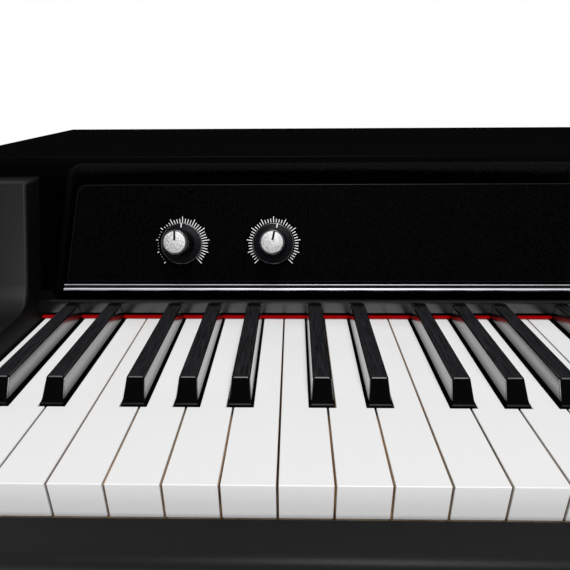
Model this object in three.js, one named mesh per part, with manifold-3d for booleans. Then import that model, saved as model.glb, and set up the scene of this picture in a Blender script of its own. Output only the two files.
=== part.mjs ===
// An electric piano with three octaves of wooden keys. Pressing a key lifts a pad on its tail off a
// steel reed, which rings over a pickup. Lengths are in millimetres. X runs along the keyboard, Y from
// the player to the back and Z up. The floor is at Z 0, and the model's origin is under its middle.

import * as THREE from 'three';
import { mergeVertices } from 'three/addons/utils/BufferGeometryUtils.js';
import Module from 'manifold-3d';

const wasm = await Module();
wasm.setup();
const { degToRad } = THREE.MathUtils;

// Clearances
const seatGap = 0.3;
const runningGap = 0.35;
const overrun = 4;
const bite = 0.5;

// Keyboard, measured from the naturals' front edge
const octaveCount = 3;
const lowestOctave = 3;
const keyPitch = 23.5;
const keyGap = 1;
const keyHeight = 24;
const keySwing = degToRad(2.9);
const stickLength = 272;
const coverPastBoardFace = 5;
const coverThickness = 2.4;
const coverOverhang = 0.4;
const frontPlateHeight = 18;
const frontPlateThickness = 1.6;
const sharpFront = 51.4;
const sharpLength = 95;
const sharpWidth = 12.3;
const sharpWaistWidth = 10.8;
const sharpTopWidth = 8.8;
const sharpLipRise = 0.5;
const sharpWaistRise = 1.4;
const sharpWaistSetBack = 1;
const sharpFrontRise = 11.4;
const sharpBackRise = 10.6;
const sharpFrontSlope = 8.7;
const sharpNoseChamfer = 1.3;
const sharpSkirt = 5;
const sharpStickWidth = 10;
const sharpClearance = 0.7;
const outerSharpShift = 2.6;
const innerSharpShift = 3.3;

// Guide and balance pins
const naturalGuideY = 15;
const sharpGuideY = 66;
const naturalBalanceY = 195;
const sharpBalanceY = 207;
const guidePinRadius = 1.6;
const guidePinEntry = 8;
const guideSlotDepth = 19;
const balancePinRadius = 2;
const balancePinStand = 3;
const pinSideGap = 0.4;
const pinEndGap = 0.6;
const punchingRadius = 4.5;
const punchingHeight = 1.2;
const pinSides = 6;
const guidePinSides = 4;

// Key frame
const keyBedHeight = 26;
const framePlateThickness = 5;
const frontRailEndInset = 4;
const frontRail = { front: 5, back: 76, drop: 11 };
const balanceRail = { front: 185, back: 217, foot: 8 };
const backRail = { front: 255, back: 280 };

// Plucking pads, reeds and pickups
const padCentreY = 297;
const padRadius = 3.5;
const padHeight = 6;
const padLift = 4;
const padSides = 6;
const armWidth = 4;
const armHeight = 4;
const armRoot = 12;
const reedTipY = 292;
const reedWidth = 4;
const reedThickness = 0.8;
const reedRailBassY = 352;
const reedRailTrebleY = 326;
const reedRailBackY = 374;
const reedRailThickness = 10;
const reedClamp = { setBack: 3, height: 4 };
const pickupRail = { front: 298, back: 312 };
const pickupWidth = 5;
const pickupDepth = 8;
const pickupHeight = 5;
const pickupGap = 1.5;
const railSideReach = 3;

// Case
const sideClearance = 1.5;
const endWidth = 68;
const sideBoardThickness = 15;
const caseFrontReach = 25;
const caseDepth = 425;
const footHeight = 8;
const footWidth = 22;
const footChamfer = 2;
const footInset = 30;
const bottomThickness = 12;
const slipThickness = 20;
const slipBelowKeys = 12;
const slipRounding = 4;
const cheekAboveKeys = 14;
const cheekRounding = 12;
const cheekHollow = 16;
const cheekProud = 3;
const cheekPastLidFront = 16;
const backPanelThickness = 12;

// Name board and felt
const boardBehindSharps = 0.6;
const boardThickness = 12;
const boardHeight = 16.1;
const boardRounding = 7;
const boardRebate = { depth: 2, height: 1.5 };
const feltAboveKeys = 0.4;
const feltThickness = 2.2;
const feltInset = 0.4;
const feltProud = 0.3;

// Control housing. Its face leans back, and slant heights are measured up that face.
const faceLean = degToRad(20.3);
const faceBeforeBoard = 7.6;
const faceFootAboveKeys = 19.7;
const humpAboveKeys = 99.5;
const humpBehindBoard = 35;
const humpTopRounding = 11;
const humpEndRounding = 9;
const humpMargin = 12;
const humpEndSlant = degToRad(7.7);
const housingWall = 3;
const baseSetBack = 12;
const lipDepth = 18.6;
const lipFoot = { thickness: 3, sideInset: 12 };

// Control plate, silver strip, pots and knobs
const plateThickness = 1.5;
const plateBottom = 10.4;
const plateTop = 73.2;
const plateSideMargin = 22.9;
const plateRounding = 6.5;
const strip = { bottom: 4.77, lowerRib: 1.93, groove: 1.2, upperRib: 1.1, reach: 1.2 };
const ribStand = 0.7;
const grooveStand = -0.4;
const knobHeight = 35;
const volumeFromPlateEnd = 77.7;
const knobSpacing = 58.9;
const toneRestTurn = degToRad(-12);
const hubRadius = 9.2;
const hubWall = 2.4;
const hubLift = 0.8;
const skirtRadius = 13.1;
const skirtUnder = 2.6;
const skirtRimHeight = 1.4;
const skirtRimChamfer = 0.4;
const skirtRise = 0.7;
const gripFootRadius = 7.9;
const gripFillet = 0.9;
const gripTopRadius = 7.5;
const gripTop = 22;
const gripEdge = 0.4;
const capRadius = 6.7;
const capThickness = 1;
const capProud = 0.4;
const capSlotWidth = 1.2;
const capSlotDepth = 0.4;
const capSlotFromCentre = 1.2;
const knobSides = 24;
const shaftRadius = 3;
const shaftTop = 16;
const bushingRadius = 3.8;
const nutRadius = 5.5;
const nutHeight = 1.6;
const potRadius = 8.5;
const potDepth = 8;
const controlBoardThickness = 1.6;
const controlBoardMargin = 14;
const controlBoardHeight = 34;

// Lid and its hinge
const lidUnderAboveKeys = 90.5;
const lidThickness = 12;
const lidBehindHump = 2;
const lidRounding = 5;
const hingeBehindCase = 5.5;
const hingeAboveLidUnder = 0.5;
const hingeRodRadius = 2;
const hingeLugRadius = 4.5;
const hingeLugWidth = 24;
const hingeLugGap = 1;
const hingeLugDrop = 9;
const hingeEndInset = 44;
const hingeHeadRadius = 3.4;
const hingeHeadThickness = 1.5;
const hingeSides = 12;

// Output jack
const jackFromEnd = 40;
const jackZ = 60;
const jackBoreRadius = 3.3;
const jackBarrelRadius = 5;
const jackNutRadius = 8;
const jackNutThickness = 3;
const jackBodyWidth = 18;
const jackBodyDepth = 20;
const jackBoreDepth = 30;

// Heights and places that follow from those above
const floorOfKeys = footHeight + bottomThickness;
const keyBottom = floorOfKeys + keyBedHeight;
const keyTop = keyBottom + keyHeight;
const naturalsPerOctave = 7;
const naturalCount = octaveCount * naturalsPerOctave + 1;
const keyboardWidth = naturalCount * keyPitch;
const boardFaceY = sharpFront + sharpLength + boardBehindSharps;
const coverLength = boardFaceY + coverPastBoardFace;
const faceFootY = boardFaceY - faceBeforeBoard;
const humpBackY = boardFaceY + humpBehindBoard;
const lidFrontY = humpBackY + lidBehindHump;
const cheekBackY = lidFrontY + cheekPastLidFront;
const innerHalf = keyboardWidth / 2 + sideClearance;
const plateHalfWidthAtFoot = innerHalf - plateSideMargin;
const volumeX = -plateHalfWidthAtFoot + volumeFromPlateEnd;
const toneX = volumeX + knobSpacing;
const outerHalf = innerHalf + endWidth;
const jackX = -outerHalf + jackFromEnd;
const sideBoardInner = outerHalf - sideBoardThickness;
const caseBackY = caseDepth - caseFrontReach;
const lidUnder = keyTop + lidUnderAboveKeys;
const caseTop = lidUnder - seatGap;
const hingeY = caseBackY + hingeBehindCase;
const hingeZ = lidUnder + hingeAboveLidUnder;
const padBottom = keyBottom + padLift;
const reedTop = padBottom - seatGap;
const faceInset = plateThickness + seatGap;
const boardBottom = keyTop + feltAboveKeys + feltThickness;
const faceFootZ = keyTop + faceFootAboveKeys;

// Colours, roughness and metalness of the surfaces
const finishes = {
  ivory: [0xe6e4dc, 0.3, 0],
  ebony: [0x1a1a1c, 0.38, 0],
  steel: [0x9a9ca0, 0.35, 1],
  silver: [0xc9ccd0, 0.32, 1],
  brass: [0xb08d4a, 0.4, 1],
  pine: [0xc8a070, 0.7, 0],
  glossBlack: [0x08080a, 0.08, 0],
  satinBlack: [0x101012, 0.35, 0],
  vinyl: [0x141416, 0.7, 0],
  felt: [0xb81e22, 0.95, 0],
  rubber: [0x1c1c1c, 0.9, 0],
  circuit: [0x6b5a2e, 0.6, 0],
  pickup: [0x3a2c24, 0.6, 0],
};

function surface([color, roughness, metalness]) {
  return new THREE.MeshStandardMaterial({ color, roughness, metalness, flatShading: true });
}

// From geometry to solid and back

function toSolid(geometry) {
  geometry.deleteAttribute('normal');
  geometry.deleteAttribute('uv');
  const merged = mergeVertices(geometry);
  return new wasm.Manifold(new wasm.Mesh({
    numProp: 3,
    vertProperties: merged.attributes.position.array,
    triVerts: new Uint32Array(merged.index.array),
  }));
}

function toMesh(name, solid, finish) {
  const { vertProperties, triVerts } = solid.getMesh();
  const geometry = new THREE.BufferGeometry();
  geometry.setAttribute('position', new THREE.BufferAttribute(vertProperties, 3));
  geometry.setIndex(new THREE.BufferAttribute(triVerts, 1));
  geometry.computeVertexNormals();
  const mesh = new THREE.Mesh(geometry, surface(finish));
  mesh.name = name;
  return mesh;
}

function join(solids) {
  return solids.reduce((whole, solid) => whole.add(solid));
}

function cut(solid, cutters) {
  return cutters.reduce((rest, cutter) => rest.subtract(cutter), solid);
}

// A block between two X, two Y and two Z values
function block([x0, x1], [y0, y1], [z0, z1]) {
  const box = new THREE.BoxGeometry(x1 - x0, y1 - y0, z1 - z0);
  return toSolid(box.translate((x0 + x1) / 2, (y0 + y1) / 2, (z0 + z1) / 2));
}

// A round or many-sided bar along one axis, given its centre line and its two ends
function barAlongX(y, z, radius, [x0, x1], sides) {
  const bar = new THREE.CylinderGeometry(radius, radius, x1 - x0, sides);
  return toSolid(bar.rotateZ(-Math.PI / 2).translate((x0 + x1) / 2, y, z));
}

function barAlongY(x, z, radius, [y0, y1], sides) {
  const bar = new THREE.CylinderGeometry(radius, radius, y1 - y0, sides);
  return toSolid(bar.translate(x, (y0 + y1) / 2, z));
}

function barAlongZ(x, y, radius, [z0, z1], sides) {
  const bar = new THREE.CylinderGeometry(radius, radius, z1 - z0, sides);
  return toSolid(bar.rotateX(Math.PI / 2).translate(x, y, (z0 + z1) / 2));
}

// A turned piece about Z from its (radius, z) profile
function turned(profile, sides) {
  const points = profile.map(([radius, z]) => new THREE.Vector2(radius, z));
  return new THREE.LatheGeometry(points, sides).rotateX(Math.PI / 2);
}

// An outline of (x, y) points raised along Z
function raised(shape, [z0, z1]) {
  const plate = new THREE.ExtrudeGeometry(shape, { depth: z1 - z0, bevelEnabled: false, curveSegments: 4 });
  return toSolid(plate.translate(0, 0, z0));
}

// An outline of (y, z) points drawn out along X, with its ends rounded where rounding is not zero
function drawnOut(shape, [x0, x1], { curveSegments = 4, rounding = 0 } = {}) {
  const bevel = { bevelSize: rounding, bevelThickness: rounding, bevelOffset: -rounding, bevelSegments: 4 };
  const options = { depth: x1 - x0 - 2 * rounding, curveSegments, bevelEnabled: rounding > 0, ...bevel };
  const along = new THREE.Matrix4().makeBasis(
    new THREE.Vector3(0, 1, 0),
    new THREE.Vector3(0, 0, 1),
    new THREE.Vector3(1, 0, 0),
  );
  return new THREE.ExtrudeGeometry(shape, options).applyMatrix4(along).translate(x0 + rounding, 0, 0);
}

function outline(points) {
  return new THREE.Shape(points.map(([a, b]) => new THREE.Vector2(a, b)));
}

// Keys: places along the keyboard

const naturalNames = ['c', 'd', 'e', 'f', 'g', 'a', 'b'];
const sharpShifts = {
  c: -outerSharpShift,
  d: outerSharpShift,
  f: -innerSharpShift,
  g: 0,
  a: innerSharpShift,
};

function naturalAt(index) {
  const left = -keyboardWidth / 2 + index * keyPitch;
  return [left + keyGap / 2, left + keyPitch - keyGap / 2];
}

function sharpCentreAfter(index) {
  const shift = sharpShifts[naturalNames[index % naturalsPerOctave]];
  const isLast = index === naturalCount - 1;
  return shift === undefined || isLast ? null : -keyboardWidth / 2 + (index + 1) * keyPitch + shift;
}

function tailOfNatural(index) {
  const [left, right] = naturalAt(index);
  const room = sharpWidth / 2 + sharpClearance;
  const before = index > 0 ? sharpCentreAfter(index - 1) : null;
  const after = sharpCentreAfter(index);
  return [before === null ? left : before + room, after === null ? right : after - room];
}

function middle([low, high]) {
  return (low + high) / 2;
}

function inset([low, high], amount) {
  return [low + amount, high - amount];
}

// Every key's name, kind, centre line, balance point and guide point
function keyPlaces() {
  const places = [];
  for (let index = 0; index < naturalCount; index += 1) {
    const octave = lowestOctave + Math.floor(index / naturalsPerOctave);
    const letter = naturalNames[index % naturalsPerOctave];
    const name = `key_${letter}${octave}`;
    const tail = tailOfNatural(index);
    const pins = { balanceY: naturalBalanceY, guideY: naturalGuideY };
    places.push({ name, head: naturalAt(index), tail, centre: middle(tail), ...pins });
    const centre = sharpCentreAfter(index);
    if (centre !== null) {
      places.push({ name: `${name}_sharp`, centre, balanceY: sharpBalanceY, guideY: sharpGuideY });
    }
  }
  return places;
}

// Plan of a natural: a wide head in front and a narrower tail between the sharps
function naturalPlan(head, tail, front, notch, back) {
  const points = [
    [head[0], front], [head[1], front], [head[1], notch], [tail[1], notch],
    [tail[1], back], [tail[0], back], [tail[0], notch], [head[0], notch],
  ];
  const differs = ([x, y], [px, py]) => x !== px || y !== py;
  return outline(points.filter((point, i) => differs(point, points[(i + 1) % points.length])));
}

// The pad on its arm behind a key, and the slots for the two pins under it
function keyPad(centre) {
  const armBottom = padBottom + padHeight;
  const arm = [stickLength - armRoot, padCentreY + padRadius];
  return join([
    block([centre - armWidth / 2, centre + armWidth / 2], arm, [armBottom, armBottom + armHeight]),
    barAlongZ(centre, padCentreY, padRadius, [padBottom, armBottom + armHeight / 2], padSides),
  ]);
}

function keySlots({ centre, balanceY, guideY }) {
  const sway = keyHeight * Math.sin(keySwing);
  const guideHalf = guidePinRadius + pinSideGap;
  const guideReach = guidePinRadius + sway + pinEndGap;
  const balanceHalf = balancePinRadius + pinSideGap;
  const balanceReach = balancePinRadius + sway + pinEndGap;
  return [
    block(
      [centre - guideHalf, centre + guideHalf],
      [guideY - guideReach, guideY + guideReach],
      [keyBottom - overrun, keyBottom + guideSlotDepth],
    ),
    block(
      [centre - balanceHalf, centre + balanceHalf],
      [balanceY - balanceReach, balanceY + balanceReach],
      [keyBottom - overrun, keyTop + overrun],
    ),
  ];
}

function naturalKey(place) {
  const { head, tail, centre } = place;
  const notch = sharpFront - sharpClearance;
  const stickHead = inset(head, coverOverhang);
  const stickTail = inset(tail, coverOverhang);
  const coverZ = [keyTop - coverThickness, keyTop];
  const stickFront = frontPlateThickness / 2;
  const stickPlan = naturalPlan(stickHead, stickTail, stickFront, notch - coverOverhang, stickLength);
  const body = join([
    raised(naturalPlan(head, tail, 0, notch, coverLength), coverZ),
    raised(stickPlan, [keyBottom, middle(coverZ)]),
    block(head, [0, frontPlateThickness], [keyTop - frontPlateHeight, middle(coverZ)]),
    keyPad(centre),
  ]);
  return cut(body, keySlots(place));
}

// A side view of (y, z) points drawn out along X, narrowed evenly from one width to another as it rises
function narrowed(shape, centre, [lowWidth, highWidth], [lowZ, highZ]) {
  const geometry = drawnOut(shape, [-lowWidth / 2, lowWidth / 2]);
  const position = geometry.attributes.position;
  for (let i = 0; i < position.count; i += 1) {
    const rise = (position.getZ(i) - lowZ) / (highZ - lowZ);
    position.setX(i, position.getX(i) * THREE.MathUtils.lerp(1, highWidth / lowWidth, rise));
  }
  return toSolid(geometry.translate(centre, 0, 0));
}

// The raised part of a sharp: a lip that slopes in to a waist, and a body with a sloping nose
function sharpCap(centre) {
  const back = sharpFront + sharpLength;
  const lip = keyTop + sharpLipRise;
  const waist = keyTop + sharpWaistRise;
  const waistFront = sharpFront + sharpWaistSetBack;
  const frontTop = keyTop + sharpFrontRise;
  const backTop = keyTop + sharpBackRise;
  const foot = outline([[sharpFront, lip], [waistFront, waist], [back, waist], [back, lip]]);
  const noseY = sharpFront + sharpFrontSlope;
  const chamferShare = sharpNoseChamfer / (frontTop - waist);
  const body = outline([
    [waistFront, waist - bite],
    [waistFront, waist],
    [THREE.MathUtils.lerp(noseY, waistFront, chamferShare), frontTop - sharpNoseChamfer],
    [noseY + sharpNoseChamfer, frontTop],
    [back, backTop],
    [back, waist - bite],
  ]);
  return join([
    narrowed(foot, centre, [sharpWidth, sharpWaistWidth], [lip, waist]),
    narrowed(body, centre, [sharpWaistWidth, sharpTopWidth], [waist, backTop]),
  ]);
}

function sharpKey(place) {
  const { centre } = place;
  const back = sharpFront + sharpLength;
  const stickFront = sharpFront + coverOverhang;
  const lip = keyTop + sharpLipRise;
  const body = join([
    sharpCap(centre),
    block([centre - sharpWidth / 2, centre + sharpWidth / 2], [sharpFront, back], [keyTop - sharpSkirt, lip]),
    block(
      [centre - sharpStickWidth / 2, centre + sharpStickWidth / 2],
      [stickFront, stickLength],
      [keyBottom, keyTop - coverThickness],
    ),
    keyPad(centre),
  ]);
  return cut(body, keySlots(place));
}

// Key frame: three rails on a plate, with a guide pin and a balance pin for each key

function framePins(places) {
  const railTop = keyBottom - seatGap - punchingHeight;
  const frontRailTop = keyBottom - frontRail.drop;
  const guidePin = [frontRailTop - bite, keyBottom + guidePinEntry];
  return places.flatMap(({ centre, balanceY, guideY }) => [
    barAlongZ(centre, guideY, guidePinRadius, guidePin, guidePinSides),
    barAlongZ(centre, balanceY, punchingRadius, [railTop - bite, railTop + punchingHeight], pinSides),
    barAlongZ(centre, balanceY, balancePinRadius, [railTop - bite, keyTop + balancePinStand], pinSides),
  ]);
}

function keyFrame(places) {
  const plateTopZ = floorOfKeys + framePlateThickness;
  const width = [-keyboardWidth / 2, keyboardWidth / 2];
  const frontWidth = inset(width, frontRailEndInset);
  const balanceTop = keyBottom - seatGap - punchingHeight;
  const balanceSide = outline([
    [balanceRail.front - balanceRail.foot, plateTopZ - bite],
    [balanceRail.back + balanceRail.foot, plateTopZ - bite],
    [balanceRail.back, balanceTop],
    [balanceRail.front, balanceTop],
  ]);
  return join([
    block(width, [frontRail.front, backRail.back], [floorOfKeys, plateTopZ]),
    block(frontWidth, [frontRail.front, frontRail.back], [plateTopZ - bite, keyBottom - frontRail.drop]),
    toSolid(drawnOut(balanceSide, width)),
    block(width, [backRail.front, backRail.back], [plateTopZ - bite, keyBottom - seatGap]),
    ...framePins(places),
  ]);
}

// Reeds on their slanted rail, longest in the bass, and the pickups under their tips

function reedRailFrontAt(x) {
  const share = (x + innerHalf) / (2 * innerHalf);
  return THREE.MathUtils.lerp(reedRailBassY, reedRailTrebleY, share);
}

function slantedBar(width, setBack, heights) {
  const plan = outline([
    [width[0], reedRailFrontAt(width[0]) + setBack],
    [width[1], reedRailFrontAt(width[1]) + setBack],
    [width[1], reedRailBackY],
    [width[0], reedRailBackY],
  ]);
  return raised(plan, heights);
}

function reedRail(places) {
  const width = [-innerHalf - railSideReach, innerHalf + railSideReach];
  const railTop = reedTop - reedThickness / 2;
  const railBottom = railTop - reedRailThickness;
  const reeds = places.map(({ centre }) => block(
    [centre - reedWidth / 2, centre + reedWidth / 2],
    [reedTipY, reedRailFrontAt(centre) + 2 * reedClamp.setBack],
    [reedTop - reedThickness, reedTop],
  ));
  return join([
    slantedBar(width, 0, [railBottom, railTop]),
    slantedBar(width, reedClamp.setBack, [railTop - bite, reedTop + reedClamp.height]),
    block(width, [reedRailBassY, reedRailBackY], [floorOfKeys, railBottom + bite]),
    ...reeds,
  ]);
}

function pickupBar(places) {
  const width = [-innerHalf - railSideReach, innerHalf + railSideReach];
  const tipTop = reedTop - reedThickness - pickupGap;
  const barTop = tipTop - pickupHeight;
  const front = middle([pickupRail.front, pickupRail.back]) - pickupDepth / 2;
  const pickups = places.map(({ centre }) => block(
    [centre - pickupWidth / 2, centre + pickupWidth / 2],
    [front, front + pickupDepth],
    [barTop - bite, tipTop],
  ));
  return join([block(width, [pickupRail.front, pickupRail.back], [floorOfKeys, barTop]), ...pickups]);
}

// Case boards

// Side view of an end: low beside the keys, then up along the leaning face to the lid
function endProfile(backY) {
  const low = keyTop + cheekAboveKeys;
  const kneeY = faceYAt(low, 0) - cheekProud;
  const topY = faceYAt(caseTop, 0) - cheekProud;
  const hollowTop = low + cheekHollow * Math.cos(faceLean);
  const shape = new THREE.Shape();
  shape.moveTo(-caseFrontReach, floorOfKeys);
  shape.lineTo(backY, floorOfKeys);
  shape.lineTo(backY, caseTop);
  shape.lineTo(topY, caseTop);
  shape.lineTo(faceYAt(hollowTop, 0) - cheekProud, hollowTop);
  shape.quadraticCurveTo(kneeY, low, kneeY - cheekHollow, low);
  const turnY = -caseFrontReach + cheekRounding;
  shape.lineTo(turnY, low);
  shape.absarc(turnY, low - cheekRounding, cheekRounding, Math.PI / 2, Math.PI, false);
  return shape;
}

function endPiece(side) {
  const across = (from, to) => [from * side, to * side].sort((a, b) => a - b);
  return join([
    toSolid(drawnOut(endProfile(caseBackY), across(sideBoardInner, outerHalf))),
    toSolid(drawnOut(endProfile(cheekBackY), across(innerHalf, sideBoardInner + bite))),
  ]);
}

function bottomBoard() {
  return block([-outerHalf, outerHalf], [-caseFrontReach, caseBackY], [footHeight, floorOfKeys]);
}

function skid(frontY) {
  const shape = outline([
    [frontY + footChamfer, 0],
    [frontY + footWidth - footChamfer, 0],
    [frontY + footWidth, footHeight],
    [frontY, footHeight],
  ]);
  return toSolid(drawnOut(shape, [-outerHalf + footInset, outerHalf - footInset]));
}

function keySlip() {
  const top = keyTop - slipBelowKeys;
  const front = -caseFrontReach;
  const shape = new THREE.Shape();
  shape.moveTo(front, floorOfKeys);
  shape.lineTo(front + slipThickness, floorOfKeys);
  shape.lineTo(front + slipThickness, top);
  shape.lineTo(front + slipRounding, top);
  shape.absarc(front + slipRounding, top - slipRounding, slipRounding, Math.PI / 2, Math.PI, false);
  return toSolid(drawnOut(shape, [-innerHalf, innerHalf]));
}

// A board with a rebate along its lower front edge, which leaves a dark line over the felt
function nameBoard() {
  const bottom = boardBottom;
  const top = bottom + boardHeight;
  const shape = new THREE.Shape();
  shape.moveTo(boardFaceY, bottom + boardRebate.height);
  shape.lineTo(boardFaceY + boardRebate.depth, bottom + boardRebate.height);
  shape.lineTo(boardFaceY + boardRebate.depth, bottom);
  shape.lineTo(boardFaceY + boardThickness, bottom);
  shape.lineTo(boardFaceY + boardThickness, top);
  shape.lineTo(boardFaceY + boardRounding, top);
  shape.absarc(boardFaceY + boardRounding, top - boardRounding, boardRounding, Math.PI / 2, Math.PI, false);
  return toSolid(drawnOut(shape, [-innerHalf, innerHalf]));
}

function nameFelt() {
  return block(
    inset([-innerHalf, innerHalf], feltInset),
    [boardFaceY - feltProud, boardFaceY + boardThickness - feltInset],
    [keyTop + feltAboveKeys, boardBottom],
  );
}

// Control housing

// Where the leaning face, moved back by an inset, stands at a height
function faceYAt(z, setBack) {
  return faceFootY + (z - faceFootZ) * Math.tan(faceLean) + setBack / Math.cos(faceLean);
}

function slopedSection(setBack, bottomZ, topZ, backY) {
  return outline([
    [faceYAt(bottomZ, setBack), bottomZ],
    [backY, bottomZ],
    [backY, topZ],
    [faceYAt(topZ, setBack), topZ],
  ]);
}

// Side view of the hump: up the leaning face, round over its top edge and back
function humpSection(setBack, rounding, topZ) {
  const low = faceFootZ - 2 * humpEndRounding;
  const centreZ = topZ - rounding;
  const centreY = faceYAt(centreZ, setBack) + rounding / Math.cos(faceLean);
  const backY = humpBackY + 2 * humpEndRounding;
  const shape = new THREE.Shape();
  shape.moveTo(faceYAt(low, setBack), low);
  shape.lineTo(backY, low);
  shape.lineTo(backY, topZ);
  shape.lineTo(centreY, topZ);
  shape.absarc(centreY, centreZ, rounding, Math.PI / 2, Math.PI - faceLean, false);
  return shape;
}

// The hump as one solid, with rounded ends that lean inwards towards its top
function humpSolid(thinner) {
  const half = plateHalfWidthAtFoot + humpMargin - thinner;
  const topZ = keyTop + humpAboveKeys - thinner;
  const section = humpSection(faceInset + thinner, humpTopRounding - thinner, topZ);
  const geometry = drawnOut(section, [-half, half], { rounding: humpEndRounding - thinner });
  const position = geometry.attributes.position;
  for (let i = 0; i < position.count; i += 1) {
    const narrowing = ((position.getZ(i) - faceFootZ) / Math.cos(faceLean)) * Math.tan(humpEndSlant);
    position.setX(i, position.getX(i) * (1 - narrowing / half));
  }
  return toSolid(geometry);
}

function controlHousing() {
  const across = [-innerHalf, innerHalf];
  const floor = faceFootZ + housingWall;
  const backOver = humpBackY + overrun;
  const roofZ = caseTop - housingWall;
  const trim = block(across, [0, humpBackY], [faceFootZ, keyTop + humpAboveKeys + overrun]);
  const setBack = faceInset + baseSetBack;
  const base = toSolid(drawnOut(slopedSection(setBack, faceFootZ, caseTop, humpBackY), across));
  const hollowAcross = inset(across, housingWall);
  const baseHollow = drawnOut(slopedSection(setBack + housingWall, floor, roofZ, backOver), hollowAcross);
  const humpHollow = humpSolid(housingWall).intersect(
    block(across, [0, backOver], [floor, keyTop + humpAboveKeys]),
  );
  const lipBackY = faceFootY + lipDepth;
  const belowHollow = block(hollowAcross, [lipBackY, backOver], [faceFootZ - overrun, floor + bite]);
  const footSpan = inset([-plateHalfWidthAtFoot, plateHalfWidthAtFoot], lipFoot.sideInset);
  const footHeights = [boardBottom + boardHeight, faceFootZ + bite];
  const foot = block(footSpan, [lipBackY - lipFoot.thickness, lipBackY], footHeights);
  const shell = cut(humpSolid(0).intersect(trim).add(base), [toSolid(baseHollow), humpHollow, belowHollow]);
  return cut(shell.add(foot), knobPlaces.map(({ x }) => controlHole(x)));
}

// Controls, in a group that leans with the face: X across, Y up the slant and Z out of the face

const knobPlaces = [
  { name: 'volume', x: volumeX, restTurn: 0 },
  { name: 'tone', x: toneX, restTurn: toneRestTurn },
];

function leaningGroup() {
  const group = new THREE.Group();
  group.rotation.x = Math.PI / 2 - faceLean;
  group.position.set(0, faceFootY, faceFootZ);
  return group;
}

// The hole for a pot's bushing, in the group's own axes or carried into the case's
function bushingHole(x) {
  const reach = faceInset + housingWall + overrun;
  return barAlongZ(x, knobHeight, bushingRadius + runningGap, [-reach, overrun], hingeSides);
}

function controlHole(x) {
  const group = leaningGroup();
  group.updateMatrix();
  return bushingHole(x).transform(group.matrix.elements);
}

function halfWidthAt(slantHeight) {
  return plateHalfWidthAtFoot - slantHeight * Math.tan(humpEndSlant);
}

function controlPlate() {
  const low = halfWidthAt(plateBottom);
  const high = halfWidthAt(plateTop);
  const shoulder = halfWidthAt(plateTop - plateRounding);
  const shape = new THREE.Shape();
  shape.moveTo(-low, plateBottom);
  shape.lineTo(low, plateBottom);
  shape.lineTo(shoulder, plateTop - plateRounding);
  shape.quadraticCurveTo(high, plateTop, high - plateRounding, plateTop);
  shape.lineTo(plateRounding - high, plateTop);
  shape.quadraticCurveTo(-high, plateTop, -shoulder, plateTop - plateRounding);
  return cut(raised(shape, [-plateThickness, 0]), knobPlaces.map(({ x }) => bushingHole(x)));
}

// Two ribs and the groove between them, with ends that follow the plate's slanted ends
function silverStrip() {
  const grooveStart = strip.bottom + strip.lowerRib;
  const grooveEnd = grooveStart + strip.groove;
  const top = grooveEnd + strip.upperRib;
  const ribs = [
    [strip.bottom, grooveStart, ribStand],
    [grooveStart - bite, grooveEnd + bite, grooveStand],
    [grooveEnd, top, ribStand],
  ];
  return join(ribs.map(([low, high, stand]) => {
    const wide = halfWidthAt(low) + strip.reach;
    const narrow = halfWidthAt(high) + strip.reach;
    const ends = outline([[-wide, low], [wide, low], [narrow, high], [-narrow, high]]);
    return raised(ends, [-plateThickness, stand]);
  }));
}

function controlBoard() {
  const potFront = -faceInset - housingWall - seatGap;
  const potBack = potFront - potDepth;
  const xs = knobPlaces.map(({ x }) => x);
  const pots = xs.flatMap((x) => [
    barAlongZ(x, knobHeight, potRadius, [potBack - bite, potFront], hingeSides),
    barAlongZ(x, knobHeight, bushingRadius, [potFront - bite, seatGap + nutHeight], hingeSides),
    barAlongZ(x, knobHeight, nutRadius, [seatGap, seatGap + nutHeight], pinSides),
    barAlongZ(x, knobHeight, shaftRadius, [potFront, shaftTop], hingeSides),
  ]);
  const board = block(
    [Math.min(...xs) - controlBoardMargin, Math.max(...xs) + controlBoardMargin],
    [knobHeight - controlBoardHeight / 2, knobHeight + controlBoardHeight / 2],
    [potBack - controlBoardThickness, potBack],
  );
  return join([board, ...pots]);
}

// A smooth grip over a raised round skirt on a hub that is hollow below, round its own Z axis
function knobBody() {
  const rimTop = skirtUnder + skirtRimHeight;
  const rimInner = skirtRadius - skirtRimChamfer;
  const skirtTop = rimTop + skirtRise;
  const hollowTop = seatGap + nutHeight + 2 * runningGap;
  const capFloor = gripTop + capProud - capThickness - seatGap;
  const capHole = capRadius + seatGap;
  const body = toSolid(turned([
    [0, hollowTop], [hubRadius - hubWall, hollowTop], [hubRadius - hubWall, hubLift], [hubRadius, hubLift],
    [hubRadius, skirtUnder], [rimInner, skirtUnder],
    [skirtRadius, skirtUnder + skirtRimChamfer], [skirtRadius, rimTop - skirtRimChamfer], [rimInner, rimTop],
    [gripFootRadius + gripFillet, skirtTop], [gripFootRadius, skirtTop + gripFillet],
    [gripTopRadius, gripTop - gripEdge], [gripTopRadius - gripEdge, gripTop],
    [capHole, gripTop], [capHole, capFloor], [0, capFloor],
  ], knobSides));
  const bore = barAlongZ(0, 0, shaftRadius + runningGap, [0, shaftTop + runningGap], hingeSides);
  return cut(body, [bore]);
}

function knobCap() {
  const top = gripTop + capProud;
  const disc = barAlongZ(0, 0, capRadius, [top - capThickness, top], knobSides);
  const slot = block(
    [-capSlotWidth / 2, capSlotWidth / 2],
    [capSlotFromCentre, capRadius + overrun],
    [top - capSlotDepth, top + overrun],
  );
  return cut(disc, [slot]);
}

function knobGroup({ name, x, restTurn }) {
  const group = new THREE.Group();
  group.position.set(x, knobHeight, 0);
  group.rotation.z = restTurn;
  group.add(toMesh(`${name}_knob`, knobBody(), finishes.ebony));
  group.add(toMesh(`${name}_cap`, knobCap(), finishes.silver));
  return group;
}

// Lid, back panel and the hinge between them

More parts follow.
